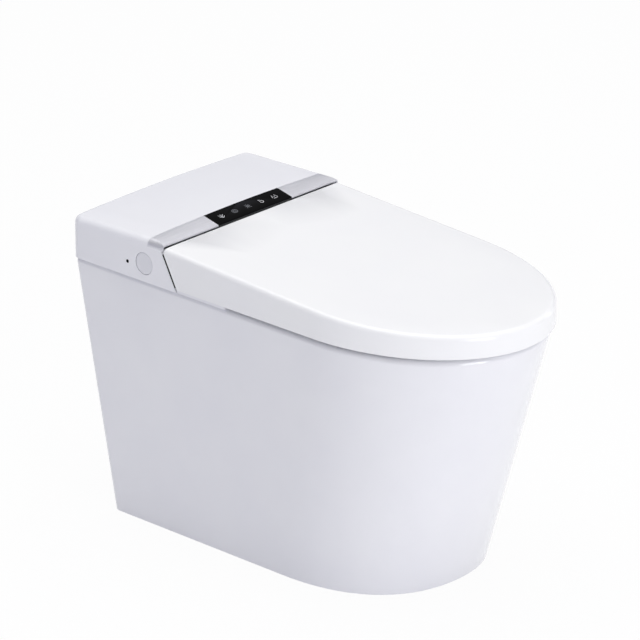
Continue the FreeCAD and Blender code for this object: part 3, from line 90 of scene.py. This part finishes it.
def addNode(tree, kind, settings=None, links=None, properties=None):
    node = tree.nodes.new(kind)
    for name, value in (properties or {}).items():
        setattr(node, name, value)
    for name, value in (settings or {}).items():
        node.inputs[name].default_value = value
    for name, source in (links or {}).items():
        tree.links.new(source, node.inputs[name])
    return node


def startMaterial(name, settings):
    material = bpy.data.materials.new(name)
    material.use_nodes = True
    tree = material.node_tree
    tree.nodes.clear()
    shader = addNode(tree, "ShaderNodeBsdfPrincipled", settings)
    addNode(tree, "ShaderNodeOutputMaterial", links={"Surface": shader.outputs["BSDF"]})
    place = addNode(tree, "ShaderNodeTexCoord").outputs["Object"]
    return material, tree, shader, place


def rampBetween(tree, factor, low, high, start=0.3, end=0.7):
    ramp = addNode(tree, "ShaderNodeValToRGB", links={"Fac": factor})
    for element, position, colour in zip(ramp.color_ramp.elements, (start, end), (low, high)):
        element.position = position
        element.color = colour
    return ramp.outputs["Color"]


def noiseOn(tree, place, scale, detail):
    return addNode(tree, "ShaderNodeTexNoise", {"Scale": scale, "Detail": detail},
                   {"Vector": place}).outputs["Fac"]


def tintShader(tree, shader, factor, low, high):
    tint = rampBetween(tree, factor, linearColour(low), linearColour(high))
    tree.links.new(tint, shader.inputs["Base Color"])


# floor, backdrop and light

studio = {
    "floor": {"colours": ("F2F2F4", "F4F4F6"), "roughness": 0.9, "grain": 25, "reach": 30,
              "white": 0.94},
    "world": {"low": "BFC2DE", "high": "FFFFFF", "blend": (0.0, 0.6), "strength": 0.43},
    "softboxes": {
        # name: (place, target, width, height, watts, colour)
        "overhead": ((0.3, 0.4, 4.2), (0, 0, 0.4), 4.2, 4.2, 112, "FFFFFF"),
        "front": ((-1.0, -4.4, 1.3), (0, 0, 0.25), 2.0, 2.4, 76, "FFFFFF"),
        "right": ((4.3, -0.9, 1.1), (0, 0, 0.25), 0.9, 2.6, 10, "FFFFFF"),
        "left": ((-4.6, 0.9, 1.4), (0, 0, 0.25), 2.4, 2.4, 8, "E2E4FF"),
    },
}


def anyOf(tree, ray, *kinds):
    # 1 where the ray is of one of these kinds
    seen = ray.outputs[kinds[0]]
    for kind in kinds[1:]:
        seen = addNode(tree, "ShaderNodeMath", links={0: seen, 1: ray.outputs[kind]},
                       properties={"operation": "MAXIMUM"}).outputs[0]
    return seen


def makeFloor(settings):
    reach = settings["reach"]
    mesh = bpy.data.meshes.new("floor")
    mesh.from_pydata([(-reach, -reach, 0), (reach, -reach, 0), (reach, reach, 0),
                      (-reach, reach, 0)], [], [(0, 1, 2, 3)])
    floor = bpy.data.objects.new("floor", mesh)
    scene.collection.objects.link(floor)
    # matt paper: the camera and the glosses see it nearly white, all else sees its own colour
    material, tree, shader, place = startMaterial("matt white paper",
                                                  {"Roughness": settings["roughness"]})
    grain = noiseOn(tree, place, patternScale(settings["grain"]), 3.0)
    tintShader(tree, shader, grain, *settings["colours"])
    paper = addNode(tree, "ShaderNodeEmission", {"Color": (1, 1, 1, 1), "Strength": 1.0})
    ray = addNode(tree, "ShaderNodeLightPath")
    seen = anyOf(tree, ray, "Is Camera Ray", "Is Glossy Ray", "Is Transmission Ray")
    share = addNode(tree, "ShaderNodeMath", {1: settings["white"]}, {0: seen},
                    {"operation": "MULTIPLY"})
    mix = addNode(tree, "ShaderNodeMixShader",
                  links={0: share.outputs[0], 1: shader.outputs["BSDF"], 2: paper.outputs[0]})
    output = next(n for n in tree.nodes if n.type == "OUTPUT_MATERIAL")
    tree.links.new(mix.outputs["Shader"], output.inputs["Surface"])
    mesh.materials.append(material)


def makeWorld(settings):
    world = bpy.data.worlds.new("studio")
    scene.world = world
    world.use_nodes = True
    tree = world.node_tree
    tree.nodes.clear()
    way = addNode(tree, "ShaderNodeTexCoord").outputs["Generated"]
    height = addNode(tree, "ShaderNodeSeparateXYZ", links={0: way}).outputs["Z"]
    sky = rampBetween(tree, height, linearColour(settings["low"]), linearColour(settings["high"]),
                      *settings["blend"])
    soft = addNode(tree, "ShaderNodeBackground", {"Strength": settings["strength"]},
                   {"Color": sky})
    white = addNode(tree, "ShaderNodeBackground", {"Color": (1, 1, 1, 1), "Strength": 1.0})
    seen = anyOf(tree, addNode(tree, "ShaderNodeLightPath"), "Is Camera Ray",
                 "Is Transmission Ray")
    mix = addNode(tree, "ShaderNodeMixShader",
                  links={0: seen, 1: soft.outputs[0], 2: white.outputs[0]})
    addNode(tree, "ShaderNodeOutputWorld", links={"Surface": mix.outputs[0]})


def makeSoftbox(name, place, target, width, height, watts, colour):
    data = bpy.data.lights.new(name, "AREA")
    data.shape, data.size, data.size_y = "RECTANGLE", width, height
    data.energy, data.color = watts, linearColour(colour)[:3]
    lamp = bpy.data.objects.new(name, data)
    lamp.location = place
    lamp.rotation_euler = (Vector(target) - Vector(place)).to_track_quat("-Z", "Y").to_euler()
    scene.collection.objects.link(lamp)


makeFloor(studio["floor"])
makeWorld(studio["world"])
for name, row in studio["softboxes"].items():
    makeSoftbox(name, *row)
print("studio set")


# finishes: colours are sRGB hex, sizes of patterns and reliefs are in mm

chinaGlaze = {"colours": ("EDEDF2", "F0F0F4"), "cloud": 111.1, "ripple": 35.7, "pits": 2.38}


def glazedChina(settings):
    # vitreous china: white body under a clear fired glaze, so it is very glossy with a slow ripple
    material, tree, shader, place = startMaterial("glazed vitreous china", {
        "Roughness": 0.09, "IOR": 1.52, "Coat Weight": 0.35, "Coat Roughness": 0.04})
    cloud = noiseOn(tree, place, patternScale(settings["cloud"]), 2.0)
    tintShader(tree, shader, cloud, *settings["colours"])
    ripple = noiseOn(tree, place, patternScale(settings["ripple"]), 1.0)
    pits = noiseOn(tree, place, patternScale(settings["pits"]), 2.0)
    slow = addNode(tree, "ShaderNodeBump", {"Strength": 0.06, "Distance": 0.004},
                   {"Height": ripple})
    fine = addNode(tree, "ShaderNodeBump", {"Strength": 0.03, "Distance": 0.0006},
                   {"Height": pits, "Normal": slow.outputs["Normal"]})
    tree.links.new(fine.outputs["Normal"], shader.inputs["Normal"])
    return material


plastics = {
    # finish: (name, darker and lighter tint, roughness, grain, relief)  # what the eye gets
    "lid": ("gloss white urea lid moulding", "F7F7F9", "F9F9FA", 0.16, 1.6, 0.02),  # purest white
    "cover": ("gloss white ABS housing", "F1F1F6", "F3F3F7", 0.2, 1.6, 0.02),  # a shade cooler
    "seat": ("gloss white seat moulding", "EFEFF4", "F2F2F6", 0.18, 1.6, 0.02),  # as the cover
    "pearl": ("satin white ABS knob", "E4E4EA", "E8E8ED", 0.3, 1.2, 0.03),  # a soft satin white
    "grey": ("glass-filled nylon", "8B8D92", "94969B", 0.5, 0.9, 0.05),  # dull and a bit mottled
    "dark": ("black ABS", "1B1C1F", "232427", 0.45, 0.9, 0.05),  # dull black
    "ink": ("white screen-printed ink", "E4E6EA", "F0F1F4", 0.5, 0.6, 0.01),  # flat lit white
    "inkPaintedDim": ("screen-printed ink in painted half-light", "6C6E74", "787A80", 0.5, 0.6, 0.01),  # flat grey: the white ink darkened, painted shade standing for symbols lit only half as brightly
    "tank": ("blow-moulded polyethylene", "D6D8DA", "DEE0E2", 0.45, 3.0, 0.12),  # milky, uneven
    "hose": ("grey ribbed EPDM hose", "56585C", "626468", 0.6, 0.8, 0.04),  # matt rubber
    "carbon": ("pressed activated carbon", "17181A", "2A2B2D", 0.9, 1.6, 0.4),  # rough and black
    "rubber": ("soft translucent bumper rubber", "B9BABD", "C4C5C8", 0.6, 0.8, 0.04),  # pale, matt
    "board": ("green solder mask", "0F4A2A", "17603A", 0.35, 1.0, 0.03),  # glossy deep green
}


def mouldedPlastic(name, low, high, roughness, grain, relief, flow=142.86, edgeRound=0.5):
    # injection-moulded plastic: even colour, a faint flow variation and the tool's fine texture
    material, tree, shader, place = startMaterial(name, {"IOR": 1.5, "Metallic": 0.0})
    tintShader(tree, shader, noiseOn(tree, place, patternScale(flow), 2.0), low, high)
    texture = noiseOn(tree, place, patternScale(grain), 2.0)
    rough = addNode(tree, "ShaderNodeMapRange",
                    {"To Min": roughness * 0.9, "To Max": roughness * 1.15}, {"Value": texture})
    tree.links.new(rough.outputs["Result"], shader.inputs["Roughness"])
    edge = addNode(tree, "ShaderNodeBevel", {"Radius": edgeRound / 1000},
                   properties={"samples": 4})
    bump = addNode(tree, "ShaderNodeBump", {"Strength": 0.15, "Distance": relief / 1000},
                   {"Height": texture, "Normal": edge.outputs["Normal"]})
    tree.links.new(bump.outputs["Normal"], shader.inputs["Normal"])
    return material


metals = {
    # finish: (name, darker and lighter tint, roughness, stretch of the lines, metallic)
    "strip": ("satin anodised aluminium", "DADAE0", "E4E4EA", 0.42, (0.02, 1.0, 1.0), 0.7),
    "steel": ("turned stainless steel", "A9ABAE", "C6C8CB", 0.28, (1.0, 1.0, 0.05), 1.0),
    "brass": ("machined brass", "B08D3C", "CFAE5E", 0.25, (1.0, 1.0, 0.05), 1.0),
}


def brushedMetal(name, low, high, roughness, stretch, metallic, lines=0.8333):
    # brushed or turned metal: fine parallel lines that spread the reflection across them
    material, tree, shader, place = startMaterial(name, {"Metallic": metallic})
    along = addNode(tree, "ShaderNodeMapping", {"Scale": stretch}, {"Vector": place})
    brushing = noiseOn(tree, along.outputs["Vector"], patternScale(lines), 3.0)
    tintShader(tree, shader, brushing, low, high)
    rough = addNode(tree, "ShaderNodeMapRange",
                    {"To Min": roughness * 0.8, "To Max": roughness * 1.25}, {"Value": brushing})
    tree.links.new(rough.outputs["Result"], shader.inputs["Roughness"])
    bump = addNode(tree, "ShaderNodeBump", {"Strength": 0.1, "Distance": 0.0001},
                   {"Height": brushing})
    tree.links.new(bump.outputs["Normal"], shader.inputs["Normal"])
    return material


heatingFoil = {"copper": "B87333", "carrier": "E3C79B", "pitch": 9.82, "edge": (0.45, 0.55)}


def foilFilm(settings):
    # etched copper track on a clear carrier film: bands of bright metal and dull film
    material, tree, shader, place = startMaterial("etched copper heating foil",
                                                  {"Roughness": 0.35})
    bands = addNode(tree, "ShaderNodeTexWave",
                    {"Scale": math.pi * 100 / settings["pitch"], "Distortion": 0.6},
                    {"Vector": place}, {"wave_type": "RINGS", "rings_direction": "Z"})
    tint = rampBetween(tree, bands.outputs["Fac"], linearColour(settings["copper"]),
                       linearColour(settings["carrier"]), *settings["edge"])
    tree.links.new(tint, shader.inputs["Base Color"])
    shine = rampBetween(tree, bands.outputs["Fac"], (1, 1, 1, 1), (0, 0, 0, 1),
                        *settings["edge"])
    tree.links.new(shine, shader.inputs["Metallic"])
    return material


windowAcrylic = {"colours": ("040405", "070708"), "haze": 16.67, "roughness": (0.1, 0.14)}


def smokedAcrylic(settings):
    # smoked cast acrylic with a hard anti-glare coat: near black, smooth, mirrors very little
    material, tree, shader, place = startMaterial("smoked coated acrylic",
                                                  {"IOR": 1.49, "Specular IOR Level": 0.03})
    haze = noiseOn(tree, place, patternScale(settings["haze"]), 2.0)
    tintShader(tree, shader, haze, *settings["colours"])
    smooth, dull = settings["roughness"]
    rough = addNode(tree, "ShaderNodeMapRange", {"To Min": smooth, "To Max": dull},
                    {"Value": haze})
    tree.links.new(rough.outputs["Result"], shader.inputs["Roughness"])
    return material


finishes = {"china": glazedChina(chinaGlaze), "window": smokedAcrylic(windowAcrylic),
            "foil": foilFilm(heatingFoil)}
finishes.update({finish: mouldedPlastic(*row) for finish, row in plastics.items()})
finishes.update({finish: brushedMetal(*row) for finish, row in metals.items()})
print("finishes made:", len(finishes))


# CAD nodes: each gets a smooth copy in its own finish

skin = {"weld": 0.00001, "sharp": 32}

wornBy = {
    "china": ("ceramic_base", "ceramic_deck", "ceramic_bowl", "ceramic_trapway",
              "ceramic_outlet", "ceramic_shelf"),
    "cover": ("rear_cover",),
    "strip": ("trim_strip",),
    "window": ("display_window", "sensor_lens"),
    "lid": ("lid_shell", "lid_liner"),
    "seat": ("seat_top", "seat_bottom", "chassis_base", "dryer_flap", "nozzle_fairing"),
    "foil": ("heating_film",),
    "pearl": ("rear_nozzle_tip", "front_nozzle_tip", "control_knob", "distribution_valve"),
    "grey": ("nozzle_tray", "rear_nozzle_rack", "rear_drive_pinion", "front_nozzle_rack",
             "front_drive_pinion", "dryer_duct", "blower_case", "knob_stem", "control_box",
             "deodoriser_case", "water_heater"),
    "dark": ("dryer_fan", "knob_encoder", "power_gland", "deodoriser_fan", "inlet_valve",
             "flush_pump"),
    "steel": ("seat_hinge_damper", "lid_hinge_damper", "chassis_bolts", "cover_screws",
              "rear_nozzle_tube", "rear_nozzle_motor", "front_nozzle_tube",
              "front_nozzle_motor", "dryer_motor", "dryer_heater"),
    "brass": ("water_inlet",),
    "rubber": ("lid_bumpers", "seat_bumpers", "fill_hose", "floor_gasket"),
    "board": ("sensor_board", "main_board", "display_board"),
    "tank": ("flush_tank",),
    "hose": ("flush_hose",),
    "carbon": ("carbon_filter",),
}
finishOf = {name: finish for finish, names in wornBy.items() for name in names}


def dress(name, settings):
    mesh = nodes[name].data.copy()
    mesh.name = name + "_skin"
    work = bmesh.new()
    work.from_mesh(mesh)
    bmesh.ops.remove_doubles(work, verts=work.verts, dist=settings["weld"])
    for face in work.faces:
        face.smooth = True
    for edge in work.edges:
        if len(edge.link_faces) == 2:
            edge.smooth = edge.calc_face_angle(0) < math.radians(settings["sharp"])
    work.to_mesh(mesh)
    work.free()
    mesh.materials.clear()
    mesh.materials.append(finishes[finishOf[name]])
    if "custom_normal" in mesh.attributes:
        mesh.attributes.remove(mesh.attributes["custom_normal"])
    piece = bpy.data.objects.new(name + "_skin", mesh)
    scene.collection.objects.link(piece)
    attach(piece, bodyOf[name])
    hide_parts(name)


for name in nodes:
    dress(name, skin)
print("nodes dressed")


# pieces made in mesh code

def finishPiece(name, work, finish, body):
    mesh = bpy.data.meshes.new(name)
    bmesh.ops.recalc_face_normals(work, faces=work.faces)
    work.to_mesh(mesh)
    work.free()
    mesh.materials.append(finishes[finish])
    piece = bpy.data.objects.new(name, mesh)
    scene.collection.objects.link(piece)
    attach(piece, body)


def joinRails(work, rails, closed=False):
    # faces between each rail of vertices and the next, with both ends shut unless it closes
    count = len(rails[0])
    for here, there in zip(rails, rails[1:] + rails[:1] if closed else rails[1:]):
        for k in range(count):
            after = (k + 1) % count
            work.faces.new((here[k], here[after], there[after], there[k]))
    if not closed:
        work.faces.new(rails[0])
        work.faces.new(list(reversed(rails[-1])))


def addRibbon(work, points, width, low, high, place, closed=False):
    # a line of even width along points, from low to high; place turns (u, v, w) into a point
    count = len(points)
    rails = []
    for i, (u, v) in enumerate(points):
        before = points[i - 1] if i or closed else points[i]
        after = points[(i + 1) % count] if i < count - 1 or closed else points[i]
        along = Vector((after[0] - before[0], after[1] - before[1])).normalized()
        side = Vector((-along.y, along.x)) * width / 2
        rails.append([work.verts.new(place(u + s * side.x, v + s * side.y, w))
                      for s, w in ((1, low), (-1, low), (-1, high), (1, high))])
    joinRails(work, rails, closed)


def arcPoints(centre, radius, start, end, steps, squash=1.0):
    turns = [math.radians(start + (end - start) * i / steps) for i in range(steps + 1)]
    return [(centre[0] + radius * math.cos(turn), centre[1] + squash * radius * math.sin(turn))
            for turn in turns]


# five plain symbols printed on the window's slope, each a set of lines in mm

windowPrint = {
    "centre": (0.008, 0.1925, 0.4705), "slope": 12.72, "pitch": 0.028, "line": 0.8,
    "thick": 0.00006,
    "symbols": [
        # (name, finish, lines as (points, closed))
        ("wash", "ink", [([(0, -5), (0, 4)], False),
                         ([(-4.6, 3.4), (0, -1.5), (4.6, 3.4)], False),
                         ([(-4.8, -1.2), (0, -4.6), (4.8, -1.2)], False)]),
        # the seat and air symbols wear the darkened ink, painted shade for symbols that are half
        # lit
        ("seat", "inkPaintedDim", [(arcPoints((0, 0), 5, 0, 345, 22, 0.8), True),
                            (arcPoints((0, 0), 2.6, 0, 340, 16, 0.8), True)]),
        ("air", "inkPaintedDim", [([(-4.5, -4), (4.5, 4)], False), ([(-4.5, 4), (4.5, -4)], False),
                           ([(-5, 0), (5, 0)], False), ([(0, -4.8), (0, 4.8)], False)]),
        ("drop", "ink", [(arcPoints((0.6, -1.2), 3.0, -200, 20, 14) + [(-2.6, 4.6)], True)]),
        ("dry", "ink", [([(-5, -3), (-3.2, 3.2), (0, -1.6), (3.2, 3.2), (5, -3)], False),
                        ([(-4.4, -4.6), (4.4, -4.6)], False)]),
    ],
}


def makeWindowPrint(settings):
    slope = math.radians(settings["slope"])
    cx, cy, cz = settings["centre"]
    thick = settings["thick"]
    middle = len(settings["symbols"]) // 2
    for number, (label, finish, lines) in enumerate(settings["symbols"]):
        shift = cx + (number - middle) * settings["pitch"]

        def place(u, v, w):
            rise = v / 1000
            return (shift + u / 1000, cy + rise * math.cos(slope) - w * math.sin(slope),
                    cz + rise * math.sin(slope) + w * math.cos(slope))

        work = bmesh.new()
        for points, closed in lines:
            addRibbon(work, points, settings["line"], -thick, thick, place, closed)
        finishPiece("symbol_" + label, work, finish, "root")


makeWindowPrint(windowPrint)
print("window print made")


# dark strips along the cover's two slanted edges, and one in the slot before the window: painted
# shade, dark pieces put where the gaps beside the lid fall into shadow

flankShadeStrips = {"foot": (0.1536, 0.4078), "head": (0.1779, 0.4538), "inside": 0.1854,
              "outside": 0.1884, "thick": 0.0006, "shoulder": 0.55, "steps": 8}
slotShadeStrip = {"left": -0.0706, "right": 0.0866, "low": 0.4594, "high": 0.4657,
            "front": 0.17685, "thick": 0.00014}


def makeFlankShadeStrips(settings):
    # a dark strip along the edge, rounded on the side that the lid meets; it is painted shade for
    # the shadow in that gap
    foot, head = Vector((0, *settings["foot"])), Vector((0, *settings["head"]))
    along = (head - foot).normalized()
    out = Vector((0, -along.z, along.y))
    inside, outside, shoulder = settings["inside"], settings["outside"], settings["shoulder"]
    for label, side in (("left", -1), ("right", 1)):
        work = bmesh.new()
        rails = []
        for point in (foot, head):
            section = []
            for k in range(settings["steps"] + 1):
                share = k / settings["steps"]
                bulge = shoulder + (1 - shoulder) * math.sin(math.pi * share)
                x = inside + (outside - inside) * share
                section.append((x, settings["thick"] * bulge))
            section += [(outside, 0), (inside, 0)]
            rails.append([work.verts.new(point + out * lift + Vector((side * x, 0, 0)))
                          for x, lift in section])
        joinRails(work, rails)
        finishPiece("flank_painted_shade_" + label, work, "dark", "root")


def makeSlotShadeStrip(settings):
    # a flat dark strip across the slot, painted shade for the shadow in the gap before the window
    def place(u, v, w):
        return (u, settings["front"] - w, v)

    work = bmesh.new()
    middle = (settings["low"] + settings["high"]) / 2
    addRibbon(work, [(settings["left"], middle), (settings["right"], middle)],
              settings["high"] - settings["low"], -settings["thick"] / 2,
              settings["thick"] / 2, place)
    finishPiece("window_slot_painted_shade", work, "dark", "root")


# painted shade: dark strips standing in the shadowed gaps
makeFlankShadeStrips(flankShadeStrips)
makeSlotShadeStrip(slotShadeStrip)
print("painted shade strips made")


# ribs and coils that repeat, grown by Geometry Nodes from a bare route or a set of points

def startTree(name, sizes):
    # a tree with a geometry socket and one named float input for each size
    tree = bpy.data.node_groups.new(name, "GeometryNodeTree")
    tree.interface.new_socket("Geometry", in_out="INPUT", socket_type="NodeSocketGeometry")
    for label in sizes:
        tree.interface.new_socket(label, in_out="INPUT", socket_type="NodeSocketFloat")
    tree.interface.new_socket("Geometry", in_out="OUTPUT", socket_type="NodeSocketGeometry")
    return tree, tree.nodes.new("NodeGroupInput").outputs


def endTree(tree, points, shape, turn, finish):
    # places the shape on the points, makes it real, smooth and dressed
    links = {"Points": points, "Instance": shape}
    if turn:
        links["Rotation"] = turn
    placed = addNode(tree, "GeometryNodeInstanceOnPoints", links=links)
    real = addNode(tree, "GeometryNodeRealizeInstances", links={0: placed.outputs["Instances"]})
    smooth = addNode(tree, "GeometryNodeSetShadeSmooth", links={0: real.outputs[0]})
    dressed = addNode(tree, "GeometryNodeSetMaterial", {"Material": finishes[finish]},
                      {0: smooth.outputs[0]})
    addNode(tree, "NodeGroupOutput", links={0: dressed.outputs[0]})


def growPiece(name, points, edges, tree, sizes, body):
    mesh = bpy.data.meshes.new(name)
    mesh.from_pydata(points, edges, [])
    piece = bpy.data.objects.new(name, mesh)
    scene.collection.objects.link(piece)
    grower = piece.modifiers.new("grow", "NODES")
    grower.node_group = tree
    for socket in tree.interface.items_tree:
        if socket.in_out == "INPUT" and socket.name in sizes:
            grower[socket.identifier] = sizes[socket.name]
    evaluated = piece.evaluated_get(bpy.context.evaluated_depsgraph_get())
    grown = bpy.data.meshes.new_from_object(evaluated)
    piece.modifiers.clear()
    piece.data = grown
    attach(piece, body)


def beadOn(tree, path, radius, resolution, caps=False):
    # a round bead of this radius along a path
    circle = addNode(tree, "GeometryNodeCurvePrimitiveCircle", {"Resolution": resolution},
                     {"Radius": radius})
    return addNode(tree, "GeometryNodeCurveToMesh", {"Fill Caps": caps},
                   {"Curve": path, "Profile Curve": circle.outputs["Curve"]}).outputs["Mesh"]


# the route runs inside the moulded hose, 14 mm short of each of its ends
hoseRibs = {"route": [(0.060, 0.180, 0.1502), (0.060, 0.180, 0.345), (0.0, 0.180, 0.345),
                      (0.0, 0.0647, 0.345)],
            "bendSteps": 10, "round": 40, "beadRound": 8,
            "sizes": {"Pitch": 0.005, "Hose radius": 0.011, "Rib radius": 0.0007,
                      "Bend radius": 0.026}}


def makeHoseRibs(settings):
    # a corrugated hose: one rounded rib on every 5 mm of its way from the pump to the bowl
    tree, given = startTree("hose ribs", settings["sizes"])
    way = addNode(tree, "GeometryNodeMeshToCurve", links={"Mesh": given["Geometry"]})
    bent = addNode(tree, "GeometryNodeFilletCurve",
                   {"Count": settings["bendSteps"], "Limit Radius": False},
                   {"Curve": way.outputs["Curve"], "Radius": given["Bend radius"]},
                   {"mode": "POLY"})
    spots = addNode(tree, "GeometryNodeCurveToPoints",
                    links={0: bent.outputs["Curve"], "Length": given["Pitch"]},
                    properties={"mode": "LENGTH"})
    ring = addNode(tree, "GeometryNodeCurvePrimitiveCircle", {"Resolution": settings["round"]},
                   {"Radius": given["Hose radius"]})
    rib = beadOn(tree, ring.outputs["Curve"], given["Rib radius"], settings["beadRound"])
    endTree(tree, spots.outputs["Points"], rib, spots.outputs["Rotation"], "hose")
    route = settings["route"]
    edges = [(i, i + 1) for i in range(len(route) - 1)]
    growPiece("flush_hose_ribs", route, edges, tree, settings["sizes"], "root")


heaterCoils = {"left": 0.0563, "right": 0.0917, "slots": 9, "rows": (0.1545, 0.161, 0.1675),
               "foot": 0.4098, "turns": 9.0, "turnSteps": 12, "beadRound": 6,
               "sizes": {"Coil radius": 0.0007, "Wire radius": 0.00014, "Coil height": 0.0122}}


def makeHeaterCoils(settings):
    # resistance wire: three upright coils in each slot of the dryer's heater block
    tree, given = startTree("heater coils", settings["sizes"])
    helix = addNode(tree, "GeometryNodeCurveSpiral",
                    {"Resolution": settings["turnSteps"], "Rotations": settings["turns"]},
                    {"Start Radius": given["Coil radius"], "End Radius": given["Coil radius"],
                     "Height": given["Coil height"]})
    wire = beadOn(tree, helix.outputs["Curve"], given["Wire radius"], settings["beadRound"], True)
    endTree(tree, given["Geometry"], wire, None, "steel")
    left, slots = settings["left"], settings["slots"]
    pitch = (settings["right"] - left) / slots
    spots = [(left + (n + 0.5) * pitch, y, settings["foot"]) for n in range(slots)
             for y in settings["rows"]]
    growPiece("dryer_heater_coils", spots, [], tree, settings["sizes"], "root")


makeHoseRibs(hoseRibs)
makeHeaterCoils(heaterCoils)
print("hose ribs and heater coils grown")
